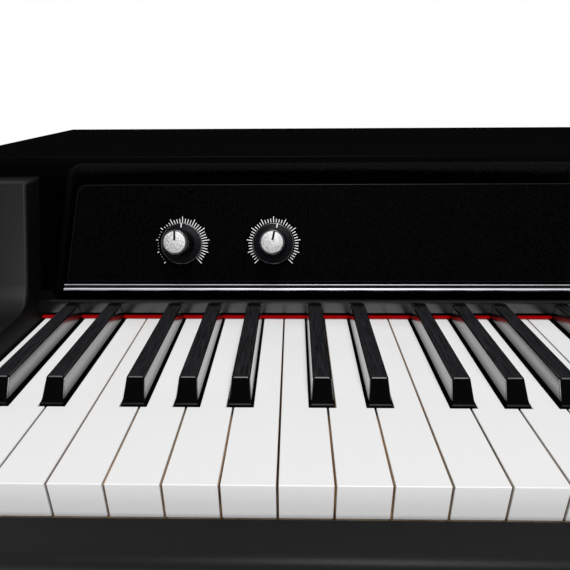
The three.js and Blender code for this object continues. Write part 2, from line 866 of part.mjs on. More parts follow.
const hingeOuter = outerHalf - hingeEndInset;
const panelLugs = [-hingeOuter, -hingeLugWidth / 2, hingeOuter - hingeLugWidth];
const lidLugs = [
  -hingeOuter + hingeLugWidth + hingeLugGap,
  hingeOuter - 2 * hingeLugWidth - hingeLugGap,
];

function hingeLug(start, webHeights) {
  const across = [start, start + hingeLugWidth];
  return join([
    barAlongX(hingeY, hingeZ, hingeLugRadius, across, hingeSides),
    block(across, [caseBackY - bite, hingeY], webHeights),
  ]);
}

function hingeBore() {
  const radius = hingeRodRadius + runningGap;
  return barAlongX(hingeY, hingeZ, radius, [-outerHalf, outerHalf], hingeSides);
}

function lid() {
  const top = lidUnder + lidThickness;
  const shape = new THREE.Shape();
  shape.moveTo(lidFrontY, lidUnder);
  shape.lineTo(caseBackY, lidUnder);
  shape.lineTo(caseBackY, top);
  shape.lineTo(lidFrontY + lidRounding, top);
  shape.absarc(lidFrontY + lidRounding, top - lidRounding, lidRounding, Math.PI / 2, Math.PI, false);
  const plate = toSolid(drawnOut(shape, [-outerHalf, outerHalf]));
  const web = [hingeZ, hingeZ + hingeLugRadius];
  return cut(join([plate, ...lidLugs.map((start) => hingeLug(start, web))]), [hingeBore()]);
}

function backPanel() {
  const across = [-sideBoardInner, sideBoardInner];
  const panel = block(across, [caseBackY - backPanelThickness, caseBackY], [floorOfKeys, caseTop]);
  const web = [hingeZ - hingeLugDrop, caseTop];
  const jackHole = barAlongY(
    jackX, jackZ, jackBarrelRadius + runningGap,
    [caseBackY - backPanelThickness - overrun, caseBackY + overrun], hingeSides,
  );
  const whole = join([panel, ...panelLugs.map((start) => hingeLug(start, web))]);
  return cut(whole, [hingeBore(), jackHole]);
}

function hingeRod() {
  const end = hingeOuter + seatGap;
  const heads = [[-end - hingeHeadThickness, -end], [end, end + hingeHeadThickness]];
  return join([
    barAlongX(hingeY, hingeZ, hingeRodRadius, [-end - bite, end + bite], hingeSides),
    ...heads.map((span) => barAlongX(hingeY, hingeZ, hingeHeadRadius, span, hingeSides)),
  ]);
}

function outputJack() {
  const nutBack = caseBackY + jackNutThickness;
  const bodyBack = caseBackY - backPanelThickness;
  const half = jackBodyWidth / 2;
  const body = join([
    barAlongY(jackX, jackZ, jackNutRadius, [caseBackY, nutBack], pinSides),
    barAlongY(jackX, jackZ, jackBarrelRadius, [bodyBack - bite, caseBackY + bite], hingeSides),
    block([jackX - half, jackX + half], [bodyBack - jackBodyDepth, bodyBack], [jackZ - half, jackZ + half]),
  ]);
  const boreSpan = [nutBack - jackBoreDepth, nutBack + overrun];
  return cut(body, [barAlongY(jackX, jackZ, jackBoreRadius, boreSpan, hingeSides)]);
}

// The whole instrument

function keys(places) {
  return places.map((place) => (place.head
    ? toMesh(place.name, naturalKey(place), finishes.ivory)
    : toMesh(place.name, sharpKey(place), finishes.ebony)));
}

function controls() {
  const group = leaningGroup();
  group.add(toMesh('control_panel', controlPlate(), finishes.satinBlack));
  group.add(toMesh('trim_strip', silverStrip(), finishes.silver));
  group.add(toMesh('control_board', controlBoard(), finishes.circuit));
  knobPlaces.forEach((place) => group.add(knobGroup(place)));
  return group;
}

function build() {
  const places = keyPlaces();
  const piano = new THREE.Group();
  const put = (name, solid, finish) => piano.add(toMesh(name, solid, finish));
  put('bottom_board', bottomBoard(), finishes.satinBlack);
  put('foot_front', skid(footInset - caseFrontReach), finishes.rubber);
  put('foot_back', skid(caseBackY - footInset - footWidth), finishes.rubber);
  put('left_end', endPiece(-1), finishes.satinBlack);
  put('right_end', endPiece(1), finishes.satinBlack);
  put('back_panel', backPanel(), finishes.satinBlack);
  put('key_slip', keySlip(), finishes.satinBlack);
  put('key_frame', keyFrame(places), finishes.pine);
  put('reed_rail', reedRail(places), finishes.steel);
  put('pickup_rail', pickupBar(places), finishes.pickup);
  put('name_board', nameBoard(), finishes.glossBlack);
  put('name_felt', nameFelt(), finishes.felt);
  put('control_housing', controlHousing(), finishes.vinyl);
  put('lid', lid(), finishes.satinBlack);
  put('hinge_rod', hingeRod(), finishes.steel);
  put('output_jack', outputJack(), finishes.brass);
  piano.add(controls(), ...keys(places));
  const rearReach = hingeY + hingeLugRadius;
  piano.position.y = -(rearReach - caseFrontReach) / 2;
  return piano;
}

export default build();
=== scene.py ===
"""The looks of a three-octave electric piano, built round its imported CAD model. Lengths are in metres."""

import math

import bmesh
import bpy
from mathutils import Matrix, Vector


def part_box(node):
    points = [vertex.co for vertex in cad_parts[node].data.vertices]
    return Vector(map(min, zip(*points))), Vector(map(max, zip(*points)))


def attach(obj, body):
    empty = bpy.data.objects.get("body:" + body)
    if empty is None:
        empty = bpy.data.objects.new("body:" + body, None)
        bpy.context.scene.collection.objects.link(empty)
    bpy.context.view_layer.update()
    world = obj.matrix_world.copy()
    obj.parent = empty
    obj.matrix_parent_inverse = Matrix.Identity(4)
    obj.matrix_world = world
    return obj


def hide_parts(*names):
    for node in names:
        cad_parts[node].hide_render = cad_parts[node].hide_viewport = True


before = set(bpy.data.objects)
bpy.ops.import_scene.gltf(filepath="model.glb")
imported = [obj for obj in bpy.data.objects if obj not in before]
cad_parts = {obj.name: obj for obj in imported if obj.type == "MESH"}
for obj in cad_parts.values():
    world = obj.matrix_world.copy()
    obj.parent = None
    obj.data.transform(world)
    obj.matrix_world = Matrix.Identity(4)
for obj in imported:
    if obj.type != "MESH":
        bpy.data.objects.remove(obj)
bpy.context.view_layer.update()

# Camera, from the lines of the keys in the photograph
PHOTO_SIZE_PX = 570
FOCAL_LENGTH_PX = 485.7
SENSOR_WIDTH_MM = 36
NEAREST_SEEN = 0.01
FARTHEST_SEEN = 50
CAMERA_PLACE = (-0.08743, -0.34068, 0.21923)
CAMERA_DOWN = math.radians(22.74)
CAMERA_LEFT = math.radians(1.12)
CAMERA_ROLL = math.radians(-0.387)

# Meshes. Edges that turn by more than a crease angle, in degrees, stay sharp or are rounded.
WELD_DISTANCE = 1e-6
FLAT_TURN = math.radians(1)
ROUNDING_SEGMENTS = 3
CREASE = 30
HUMP_CREASE = 35
BOARD_CREASE = 40
CAP_CREASE = 40
FELT_CREASE = 50
STRIP_CREASE = 50
PLATE_CREASE = 60
KNOB_CREASE = 60

# Keys
COVER_THICKNESS = 0.0016
COVER_ROUNDING = 0.0004
COVER_LENGTH = 0.152
FRONT_PLATE_HEIGHT = 0.018
FRONT_PLATE_THICKNESS = 0.0016
STICK_ROUNDING = 0.0003
STICK_SEGMENTS = 2
PAD_FRONT = 0.2925
PAD_TOP = 0.056
SHARP_CLEARANCE = 0.0007
SHARP_SKIRT = 0.005
SHARP_LENGTH = 0.095
SHARP_BACK_RISE = 0.0106
SHARP_FRONT_SLOPE = 0.0087
SHARP_TOP_HALF = 0.0047
SHARP_TOP_DROP = 0.0006
SHARP_SIDE_ROUNDING = 0.0008
SHARP_NOSE_ROUNDING = 0.0006
SHARP_TOP_CORNERS = 0.0008
SHARP_CURVE_STEPS = 6
SHARP_CORNER_STEPS = 4
# From a sharp's foot to its waist: rise over the naturals, half width, set-back of the front and
# rounding of the front corners
SHARP_LEVELS = (
    (-0.005, 0.0064, 0.0, 0.0005),
    (0.0005, 0.0064, 0.0, 0.0005),
    (0.0007, 0.0063, 0.0001, 0.0005),
    (0.0009, 0.0062, 0.0003, 0.0006),
    (0.0012, 0.006, 0.0006, 0.0008),
    (0.0017, 0.0058, 0.001, 0.0011),
    (0.0024, 0.00568, 0.0015, 0.0014),
)
# Bands between those levels that make the bright line along the lip
SHARP_LIP_BANDS = (2, 3)
# Steps of the curve into the top: those that are bright over the nose, the one that is bright along the
# sides, and the first of those that look like the top
SHARP_NOSE_STEPS = (2, 3, 4, 5)
SHARP_RIDGE_STEP = 4
SHARP_TOP_STEP = 4
SHARP_SURFACES = ("sharp_dull", "sharp_side", "sharp_top", "sharp_nose", "sharp_lip")
# Directions in plan, as angles from +X
TO_LEFT = math.pi
TO_FRONT = 1.5 * math.pi
TO_RIGHT = 2 * math.pi

# Boards, felt and housing
EDGE_ROUNDING = 0.0012
CASE_ROUNDING = 0.002
INNER_ROUNDING = 0.0002
LID_ROUNDING = 0.0006
# Depth of the lid's front edge, which is dull black as painted shade
LID_FRONT_DEPTH = 0.007
# Upward part of a normal above which a face counts as the lid's top
FLAT_NORMAL = 0.99
BOARD_ROUNDING = 0.007
BOARD_CURVE_STEPS = 20
BOARD_REBATE_DEPTH = 0.002
BOARD_REBATE_HEIGHT = 0.0025
FELT_ROUNDING = 0.0005
FELT_TRIM = (0.0003, 0.0006)
FELT_RIPPLE = 0.00012
FELT_FINE_WAVE = (1.7, 2.3)
FELT_SLOW_WAVE = (0.37, 1.0)
FELT_COLUMNS = 700
FELT_ROWS = 6
FACE_LEAN = math.radians(20.3)
FACE_FOOT_RISE = 0.0197
FACE_FOOT_DEPTH = 0.1394
HOUSING_WALL = 0.003
PLATE_THICKNESS = 0.0015
SEAT_GAP = 0.0003
HUMP_TOP_ROUNDING = 0.011
HUMP_END_ROUNDING = 0.009
HUMP_TOP_STEPS = 10
HUMP_END_STEPS = 8
HUMP_MARGIN = 0.012
HUMP_END_SLANT = math.radians(7.7)
BASE_SET_BACK = 0.012
LIP_DEPTH = 0.158
SHOULDER_INNER = 0.226
PLATE_HALF_WIDTH_AT_FOOT = 0.2371
PLATE_BOTTOM = 0.0104
PLATE_TOP = 0.0732
PLATE_ROUNDING = 0.0065
PLATE_CORNER_STEPS = 10
PLATE_EDGE = 0.0004
# Outward part of a normal above which a face counts as the plate's front or back
FACING_OUT = 0.5

# Strip
STRIP_BOTTOM = 0.0045
LOWER_RIB = 0.00193
GROOVE = 0.0015
UPPER_RIB = 0.0009
RIB_STAND = 0.0007
GROOVE_STAND = -0.0004
STRIP_REACH = 0.0012
RIB_STEPS = 12

# Marks
KNOB_SLANT_HEIGHT = 0.035
MARK_SWEEP = math.radians(136)
MARK_COUNT = 41
MARKS_PER_MAJOR = 4
MARK_STAND = 0.00006
MARK_WIDTH = 0.00044
DOT_WIDTH = 0.0003
MARK_INNER_RADIUS = 0.0138
MARK_MINOR_RADIUS = 0.0162
MARK_MAJOR_RADIUS = 0.0175
LONG_MARK_INNER_RADIUS = 0.012
DOT_LENGTH = 0.0003
DASH_LENGTH = 0.0012
FULL_MARK_SHARE = 0.45
MARK_GROWTH_POWER = 5

# Knobs, as (radius, height, surface above) from the underside of the hub up to the grip's top
KNOB_PROFILE = (
    (0.0, 0.0026, "skirt"), (0.0066, 0.0026, "skirt"), (0.0068, 0.0008, "skirt"),
    (0.009, 0.0008, "skirt"), (0.0092, 0.001, "skirt"), (0.0092, 0.003, "skirt"),
    (0.0094, 0.0032, "skirt"), (0.0127, 0.0032, "edge"), (0.013, 0.0033, "edge"),
    (0.0131, 0.0035, "edge"), (0.0131, 0.0039, "edge"), (0.013, 0.0041, "edge"),
    (0.0127, 0.0042, "skirt"), (0.0094, 0.0047, "skirt"), (0.0088, 0.0049, "skirt"),
    (0.0083, 0.0053, "grip"), (0.008, 0.0059, "grip"), (0.0079, 0.0067, "grip"),
    (0.0076, 0.0213, "edge"), (0.00755, 0.0217, "edge"), (0.0074, 0.0219, "edge"),
    (0.0071, 0.022, "grip"), (0.007, 0.0219, "grip"), (0.007, 0.0214, "grip"),
    (0.0, 0.0214, "grip"),
)
KNOB_SURFACES = ("grip", "skirt", "edge")
CAP_PROFILE = (
    (0.0, 0.0215), (0.0067, 0.0215), (0.0067, 0.0221), (0.0066, 0.0223), (0.0064, 0.0224), (0.0, 0.0224),
)
CAP_LINE_WIDTH = 0.0013
CAP_LINE_SPAN = (0.0012, 0.0066)
CAP_LINE_HEIGHTS = (0.0221, 0.02244)
POINTER_WIDTH = 0.0006
POINTER_LINE = ((0.0103, 0.00457), (0.0127, 0.0042), (0.013, 0.0041), (0.01312, 0.0039))
POINTER_STAND = 0.00006
POINTER_DEPTH = 0.0004
TURN_STEPS = 128
TONE_TURN = math.radians(-12)

# Light. The studio is dim for the light that it casts, and white where it is seen or mirrored.
MAIN_LIGHT = {
    "place": (0.3, -3.25, 3.91), "target": (0, -0.1, 0.07), "size": (2.1, 3.9), "radiance": 11.2,
}
OVERHEAD_LIGHT = {
    "place": (0.1, -0.05, 1.5), "target": (0, -0.05, 0.07), "size": (1.2, 0.8), "radiance": 1.0,
}
DIM_STUDIO = 0.1
WHITE = 1.0
FLOOR_LOOK = {"sockets": {"Base Color": (0.82, 0.82, 0.81, 1), "Roughness": 0.9, "Specular IOR Level": 0.0}}
FLOOR_RADIUS = 3.0
FLOOR_FADE_START = 0.35
FLOOR_FADE_END = 1.65
FLOOR_SIDES = 96


# Places that follow from the frame

def key_nodes():
    names = [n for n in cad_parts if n.startswith("key_") and n not in ("key_slip", "key_frame")]
    return sorted(names, key=lambda n: sum(c[0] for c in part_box(n)))


KEYS = key_nodes()
KEYS_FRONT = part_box(KEYS[0])[0][1]
KEY_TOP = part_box(KEYS[0])[1][2]
SHARPS_FRONT = min(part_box(name)[0][1] for name in KEYS if name.endswith("_sharp"))
FACE_FOOT_Z = KEY_TOP + FACE_FOOT_RISE
FACE_FOOT_Y = KEYS_FRONT + FACE_FOOT_DEPTH
FACE_UP = Vector((0, math.sin(FACE_LEAN), math.cos(FACE_LEAN)))
FACE_OUT = Vector((0, -math.cos(FACE_LEAN), math.sin(FACE_LEAN)))

# Looks. Tones and roughness run from the low to the high end of the grain's span, and a bump is a depth
# and a strength.
GRAIN_SPAN = (0.3, 0.7)
GRAIN_DETAIL = 4
GRAIN_ROUGHNESS = 0.6
CELL_SMOOTHNESS = 0.5
SPECULAR = "Specular IOR Level"
LOOKS = {
    "white_plastic": {
        "tones": ((0.799, 0.799, 0.795), (0.803, 0.803, 0.8)), "roughness": (0.275, 0.285),
        "grain": 120, "detail": 1, "bump": (0.000002, 0.1), "sockets": {SPECULAR: 0.2},
    },
    # The sides' coat fades out towards the foot: painted shade along the foot of each sharp.
    "sharp_side": {
        "tones": ((0.0025, 0.0025, 0.003), (0.004, 0.004, 0.0045)), "roughness": (0.12, 0.18),
        "grain": 900, "stretch": (1, 0.1, 1), "bump": (0.00001, 0.2),
        "coat": {"along": "height", "span": (KEY_TOP + 0.0014, KEY_TOP + 0.0078), "weights": (0, 1)},
        "sockets": {SPECULAR: 0.4, "Coat IOR": 4.0, "Coat Roughness": 0.2},
    },
    "sharp_top": {
        "tones": ((0.004, 0.004, 0.0044), (0.026, 0.026, 0.0285)), "roughness": (0.33, 0.5),
        "grain": 1500, "stretch": (1, 0.05, 1), "bump": (0.00001, 0.5), "sockets": {SPECULAR: 0.0},
    },
    "sharp_dull": {
        "tones": ((0.0015, 0.0015, 0.0018), (0.0025, 0.0025, 0.0028)), "roughness": (0.45, 0.6),
        "grain": 1500, "bump": (0.00001, 0.3), "sockets": {SPECULAR: 0.0},
    },
    "sharp_nose": {
        "tones": ((0.003, 0.003, 0.0035), (0.005, 0.005, 0.0055)), "roughness": (0.2, 0.28),
        "grain": 1500, "bump": (0.000005, 0.2), "sockets": {SPECULAR: 0.5, "IOR": 2.1},
    },
    "sharp_lip": {
        "tones": ((0.002, 0.002, 0.0024), (0.004, 0.004, 0.0045)), "roughness": (0.35, 0.45),
        "grain": 1500, "bump": (0.00001, 0.3), "sockets": {SPECULAR: 0.1},
    },
    "bare_wood": {
        "tones": ((0.5, 0.31, 0.15), (0.72, 0.53, 0.32)), "roughness": (0.5, 0.75),
        "grain": 350, "stretch": (1, 0.05, 1), "detail": 5, "bump": (0.0001, 0.4),
    },
    # Its coat fades out up the board's rounded top: painted shade there; lower down the coat is a real
    # gloss.
    "polished_black": {
        "tones": ((0.0015, 0.0015, 0.0018), (0.0025, 0.0025, 0.003)), "roughness": (0.2, 0.26),
        "grain": 300, "bump": (0.00001, 0.2),
        "coat": {"along": "height", "span": (KEY_TOP + 0.0105, KEY_TOP + 0.015), "weights": (1, 0)},
        "sockets": {SPECULAR: 0.0, "Coat IOR": 1.82, "Coat Roughness": 0.22},
    },
    "satin_black": {
        "tones": ((0.0025, 0.0025, 0.0027), (0.004, 0.004, 0.0042)), "roughness": (0.4, 0.5),
        "grain": 700, "bump": (0.00002, 0.3), "sockets": {SPECULAR: 0.12},
    },
    # Dull black for the name board's recess and the lid's front edge: painted shade.
    "painted_shade_black": {
        "tones": ((0.0012, 0.0012, 0.0015), (0.0022, 0.0022, 0.0025)), "roughness": (0.45, 0.6),
        "grain": 700, "bump": (0.00002, 0.3), "sockets": {SPECULAR: 0.0},
    },
    # The coat fades out towards grazing views: painted shade in place of the bright grazing reflection.
    "lid_black": {
        "tones": ((0.0018, 0.0018, 0.0022), (0.0035, 0.0035, 0.004)), "roughness": (0.45, 0.58),
        "grain": 700, "bump": (0.00002, 0.3),
        "coat": {"along": "facing", "span": (0.5, 0.78), "weights": (0.5, 0)},
        "sockets": {SPECULAR: 0.0, "Coat Roughness": 0.4},
    },
    # The coat grows as the surface turns away from the view, so glints show on the hump's top rounding: a
    # painted sheen.
    "grained_black": {
        "tones": ((0.0015, 0.0015, 0.0018), (0.0001, 0.0001, 0.0002)), "roughness": (0.38, 0.6),
        "cells": 800, "span": (0.05, 0.45), "bump": (-0.0005, 1.0),
        "coat": {"along": "facing", "span": (0.1, 0.35), "weights": (0, 0.05)},
        "sockets": {SPECULAR: 0.0, "Coat Roughness": 0.35},
    },
    "fine_black": {
        "tones": ((0.0001, 0.0001, 0.0002), (0.0028, 0.0028, 0.0034)), "roughness": (0.4, 0.52),
        "grain": 1000, "span": (0.38, 0.68), "bump": (0.00004, 0.4), "sockets": {SPECULAR: 0.003},
    },
    "plate_edge": {
        "tones": ((0.0015, 0.0015, 0.0017), (0.0025, 0.0025, 0.0027)), "roughness": (0.3, 0.4),
        "grain": 900, "bump": (0.00003, 0.5), "sockets": {SPECULAR: 0.12},
    },
    "felt_red": {
        "tones": ((0.22, 0.001, 0.0015), (0.33, 0.0025, 0.0035)), "roughness": (0.9, 1.0),
        "grain": 2200, "detail": 6, "bump": (0.0002, 0.8),
        "sockets": {SPECULAR: 0.0, "Sheen Weight": 0.1, "Sheen Tint": (1, 0.1, 0.1, 1)},
    },
    "silver_bar": {
        "tones": ((0.38, 0.38, 0.41), (0.45, 0.45, 0.485)), "roughness": (0.4, 0.5),
        "grain": 3000, "stretch": (0.02, 1, 1), "bump": (0.000005, 0.2), "sockets": {"Metallic": 1.0},
    },
    "cap_silver": {
        "tones": ((0.19, 0.19, 0.19), (0.5, 0.5, 0.5)), "roughness": (0.5, 0.65),
        "grain": 1500, "span": (0.38, 0.6), "bump": (0.00005, 0.4), "sockets": {"Metallic": 0.8},
    },
    "knob_grip": {
        "tones": ((0.0015, 0.0015, 0.0018), (0.0025, 0.0025, 0.003)), "roughness": (0.16, 0.22),
        "grain": 1200, "bump": (0.00001, 0.3), "sockets": {SPECULAR: 0.2},
    },
    "knob_skirt": {
        "tones": ((0.0018, 0.002, 0.0032), (0.0028, 0.003, 0.0048)), "roughness": (0.3, 0.38),
        "grain": 1200, "bump": (0.00001, 0.3), "sockets": {SPECULAR: 0.04},
    },
    "knob_edge": {
        "tones": ((0.003, 0.003, 0.0033), (0.005, 0.005, 0.0055)), "roughness": (0.14, 0.2),
        "grain": 1200, "bump": (0.000005, 0.2), "sockets": {SPECULAR: 1.0},
    },
    "slot_black": {
        "tones": ((0.0025, 0.0025, 0.0025), (0.0035, 0.0035, 0.0035)), "roughness": (0.5, 0.7),
        "grain": 500, "bump": (0.00003, 0.5), "sockets": {SPECULAR: 0.05},
    },
    "print_white": {
        "tones": ((0.84, 0.84, 0.84), (0.9, 0.9, 0.9)), "roughness": (0.5, 0.7),
        "grain": 1500, "bump": (0.00001, 0.3), "sockets": {SPECULAR: 0.2},
    },
    "reed_steel": {
        "tones": ((0.47, 0.48, 0.5), (0.63, 0.64, 0.66)), "roughness": (0.25, 0.35),
        "grain": 900, "bump": (0.00003, 0.5), "sockets": {"Metallic": 1.0},
    },
    "nickel": {
        "tones": ((0.66, 0.65, 0.62), (0.78, 0.77, 0.74)), "roughness": (0.18, 0.26),
        "grain": 700, "bump": (0.00002, 0.3), "sockets": {"Metallic": 1.0},
    },
    "circuit_board": {
        "tones": ((0.2, 0.11, 0.04), (0.3, 0.17, 0.06)), "roughness": (0.42, 0.58),
        "grain": 400, "bump": (0.00003, 0.5),
    },
    "pickup_brown": {
        "tones": ((0.05, 0.03, 0.02), (0.07, 0.04, 0.03)), "roughness": (0.45, 0.65),
        "grain": 400, "bump": (0.00003, 0.5),
    },
    "rubber": {
        "tones": ((0.01, 0.01, 0.01), (0.015, 0.015, 0.015)), "roughness": (0.75, 0.95),
        "grain": 800, "bump": (0.0001, 0.5), "sockets": {SPECULAR: 0.2},
    },
    "pad_grey": {
        "tones": ((0.085, 0.077, 0.072), (0.115, 0.103, 0.098)), "roughness": (0.7, 0.9),
        "grain": 900, "bump": (0.00005, 0.5),
    },
}


def on_face(x, up, out):
    """The point at x, a height up the leaning face and a stand out of it."""
    return Vector((x, FACE_FOOT_Y, FACE_FOOT_Z)) + FACE_UP * up + FACE_OUT * out


# Mesh helpers

def finish_piece(
    name, bm, materials, body,
    replaces=(), rounding=0.0, segments=ROUNDING_SEGMENTS, angle=CREASE,
):
    """Turns a bmesh into a piece with smooth shading and, where asked for, rounded edges."""
    bmesh.ops.recalc_face_normals(bm, faces=bm.faces)
    mesh = bpy.data.meshes.new(name)
    bm.to_mesh(mesh)
    bm.free()
    for material in materials:
        mesh.materials.append(material)
    mesh.polygons.foreach_set("use_smooth", [True] * len(mesh.polygons))
    piece = bpy.data.objects.new(name, mesh)
    bpy.context.scene.collection.objects.link(piece)
    if rounding > 0:
        bevel = piece.modifiers.new("rounded_edges", "BEVEL")
        bevel.width = rounding
        bevel.segments = segments
        bevel.limit_method = "ANGLE"
        bevel.angle_limit = math.radians(angle)
        bevel.harden_normals = True
    else:
        mesh.set_sharp_from_angle(angle=math.radians(angle))
    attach(piece, body)
    if replaces:
        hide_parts(*replaces)
    return piece


def add_loft(bm, rings, closed=True, capped=True):
    """Joins rings of points with faces. Each ring has the same number of points."""
    rows = [[bm.verts.new(point) for point in ring] for ring in rings]
    count = len(rows[0])
    steps = range(count if closed else count - 1)
    for low, high in zip(rows, rows[1:]):
        for i in steps:
            j = (i + 1) % count
            bm.faces.new((low[i], low[j], high[j], high[i]))
    if capped:
        bm.faces.new(rows[0][::-1])
        bm.faces.new(rows[-1])
    return rows


def arc(centre, radius, start, end, steps):
    """Points on an arc in a plane, as (a, b) pairs."""
    angles = [start + (end - start) * i / steps for i in range(steps + 1)]
    return [(centre[0] + radius * math.cos(a), centre[1] + radius * math.sin(a)) for a in angles]


def drawn_out(outline, x0, x1):
    """A bar along X from an outline of (y, z) pairs."""
    bm = bmesh.new()
    add_loft(bm, [[(x, y, z) for y, z in outline] for x in (x0, x1)])
    return bm


def turned(bm, profile, place, surfaces=(0,), steps=TURN_STEPS):
    """A surface turned round the local Z axis and put in place by a matrix.

    The profile starts and ends on the axis. Surfaces are the material indices of its bands, and the last
    one goes on for the rest.
    """
    first, *middle, last = profile
    rings = []
    for radius, height in middle:
        angles = [2 * math.pi * i / steps for i in range(steps)]
        rings.append([place @ Vector((radius * math.cos(a), radius * math.sin(a), height)) for a in angles])
    rows = add_loft(bm, rings, capped=False)
    for i, face in enumerate(bm.faces):
        face.material_index = surfaces[min(i // steps + 1, len(surfaces) - 1)]
    for end, row, surface in ((first, rows[0], surfaces[0]), (last, rows[-1], surfaces[-1])):
        tip = bm.verts.new(place @ Vector((0, 0, end[1])))
        for i in range(steps):
            bm.faces.new((tip, row[i], row[(i + 1) % steps])).material_index = surface


def cad_mesh(node_name):
    """A copy of a CAD node's mesh with its corners welded."""
    bm = bmesh.new()
    bm.from_mesh(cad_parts[node_name].data)
    bmesh.ops.remove_doubles(bm, verts=bm.verts, dist=WELD_DISTANCE)
    return bm


def merge_flat_faces(bm):
    bmesh.ops.dissolve_limit(bm, angle_limit=FLAT_TURN, verts=bm.verts, edges=bm.edges)


def copied(node_name, materials, body, rounding, segments=ROUNDING_SEGMENTS):
    """A CAD node's own form with flat faces merged and its edges rounded."""
    bm = cad_mesh(node_name)
    merge_flat_faces(bm)
    return finish_piece(f"{node_name}_finished", bm, materials, body, [node_name], rounding, segments)


# Materials

def set_up_material(name, look):
    material = bpy.data.materials.new(name)
    material.use_nodes = True
    shader = material.node_tree.nodes["Principled BSDF"]
    for socket, value in look.get("sockets", {}).items():
        shader.inputs[socket].default_value = value
    return material, material.node_tree, shader


def node(tree, kind, **settings):
    """A new node with its inputs or its own settings filled in."""
    made = tree.nodes.new(kind)
    for key, value in settings.items():
        if key in made.inputs:
            made.inputs[key].default_value = value
        else:
            setattr(made, key, value)
    return made


def object_place(tree, stretch):
    """Object coordinates stretched by a factor on each axis."""
    place = tree.nodes.new("ShaderNodeTexCoord")
    mapping = node(tree, "ShaderNodeMapping", Scale=stretch)
    tree.links.new(place.outputs["Object"], mapping.inputs["Vector"])
    return mapping.outputs["Vector"]


def grain_of(tree, look):
    """Fine noise, or rounded cells, that a surface's tone, gloss and height follow."""
    place = object_place(tree, look.get("stretch", (1, 1, 1)))
    if "cells" in look:
        made = node(
            tree, "ShaderNodeTexVoronoi", feature="SMOOTH_F1",
            Scale=look["cells"], Smoothness=CELL_SMOOTHNESS,
        )
        value = made.outputs["Distance"]
    else:
        made = node(
            tree, "ShaderNodeTexNoise",
            Scale=look["grain"], Detail=look.get("detail", GRAIN_DETAIL), Roughness=GRAIN_ROUGHNESS,
        )
        value = made.outputs["Fac"]
    tree.links.new(place, made.inputs["Vector"])
    return value


def ramp(tree, value, low, high, span):
    """Maps a value to a colour or grey between two ends."""
    made = tree.nodes.new("ShaderNodeValToRGB")
    for element, at, shade in zip(made.color_ramp.elements, span, (low, high)):
        element.position = at
        element.color = (*shade, 1) if isinstance(shade, tuple) else (shade, shade, shade, 1)
    tree.links.new(value, made.inputs["Fac"])
    return made.outputs["Color"]


def smooth_range(tree, value, start, end, low, high):
    """Goes smoothly from low to high while a value goes from start to end."""
    made = node(tree, "ShaderNodeMapRange", interpolation_type="SMOOTHSTEP")
    for socket, number in (("From Min", start), ("From Max", end), ("To Min", low), ("To Max", high)):
        made.inputs[socket].default_value = number
    tree.links.new(value, made.inputs["Value"])
    return made.outputs["Result"]


def coat_weight(tree, coat):
    """A clear coat that fades or grows with height or with the angle of view, used for painted shade and a
    painted sheen.
    """
    if coat["along"] == "height":
        place = tree.nodes.new("ShaderNodeTexCoord")
        split = tree.nodes.new("ShaderNodeSeparateXYZ")
        tree.links.new(place.outputs["Object"], split.inputs["Vector"])
        value = split.outputs["Z"]
    else:
        value = tree.nodes.new("ShaderNodeLayerWeight").outputs["Facing"]
    return smooth_range(tree, value, *coat["span"], *coat["weights"])


def make_material(name, look):
    material, tree, shader = set_up_material(name, look)
    grain = grain_of(tree, look)
    span = look.get("span", GRAIN_SPAN)
    for socket, ends in (("Base Color", look["tones"]), ("Roughness", look["roughness"])):
        tree.links.new(ramp(tree, grain, *ends, span), shader.inputs[socket])
    depth, strength = look["bump"]
    bump = node(tree, "ShaderNodeBump", Distance=depth, Strength=strength)
    tree.links.new(grain, bump.inputs["Height"])
    tree.links.new(bump.outputs["Normal"], shader.inputs["Normal"])
    if "coat" in look:
        tree.links.new(coat_weight(tree, look["coat"]), shader.inputs["Coat Weight"])
        tree.links.new(bump.outputs["Normal"], shader.inputs["Coat Normal"])
    return material


MATERIALS = {name: make_material(name, look) for name, look in LOOKS.items()}


# Keys

def is_sharp(name):
    return name.endswith("_sharp")


def natural_places():
    """Each natural's head and tail as X spans, from the boxes of the keys beside it."""
    places = {}
    for i, name in enumerate(KEYS):
        if is_sharp(name):
            continue
        low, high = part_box(name)
        tail = [low[0], high[0]]
        if i > 0 and is_sharp(KEYS[i - 1]):
            tail[0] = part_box(KEYS[i - 1])[1][0] + SHARP_CLEARANCE
        if i + 1 < len(KEYS) and is_sharp(KEYS[i + 1]):
            tail[1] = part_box(KEYS[i + 1])[0][0] - SHARP_CLEARANCE
        places[name] = ((low[0], high[0]), tuple(tail))
    return places


def natural_cover(name, head, tail):
    """The plastic top of a natural with the plate that turns down over its front."""
    front = KEYS_FRONT
    notch = SHARPS_FRONT - SHARP_CLEARANCE
    back = front + COVER_LENGTH
    plate = front + FRONT_PLATE_THICKNESS
    outline = [
        (head[0], front), (head[1], front), (head[1], plate), (head[1], notch), (tail[1], notch),
        (tail[1], back), (tail[0], back), (tail[0], notch), (head[0], notch), (head[0], plate),
    ]
    outline = [p for i, p in enumerate(outline) if p != outline[(i + 1) % len(outline)]]
    bm = bmesh.new()
    low = [bm.verts.new((x, y, KEY_TOP - COVER_THICKNESS)) for x, y in outline]
    high = [bm.verts.new((x, y, KEY_TOP)) for x, y in outline]
    count = len(outline)
    for i in range(count):
        j = (i + 1) % count
        bm.faces.new((low[i], low[j], high[j], high[i]))
    bm.faces.new(high)
    strip = bm.faces.new((low[0], low[count - 1], low[2], low[1]))
    bm.faces.new([low[i] for i in range(count - 1, 1, -1)])
    made = bmesh.ops.extrude_face_region(bm, geom=[strip])
    moved = [v for v in made["geom"] if isinstance(v, bmesh.types.BMVert)]
    bmesh.ops.translate(bm, verts=moved, vec=(0, 0, COVER_THICKNESS - FRONT_PLATE_HEIGHT))
    if strip.is_valid:
        bm.faces.remove(strip)
    merge_flat_faces(bm)
    material = MATERIALS["white_plastic"]
    finish_piece(f"{name}_cover", bm, [material], name, [name], COVER_ROUNDING)


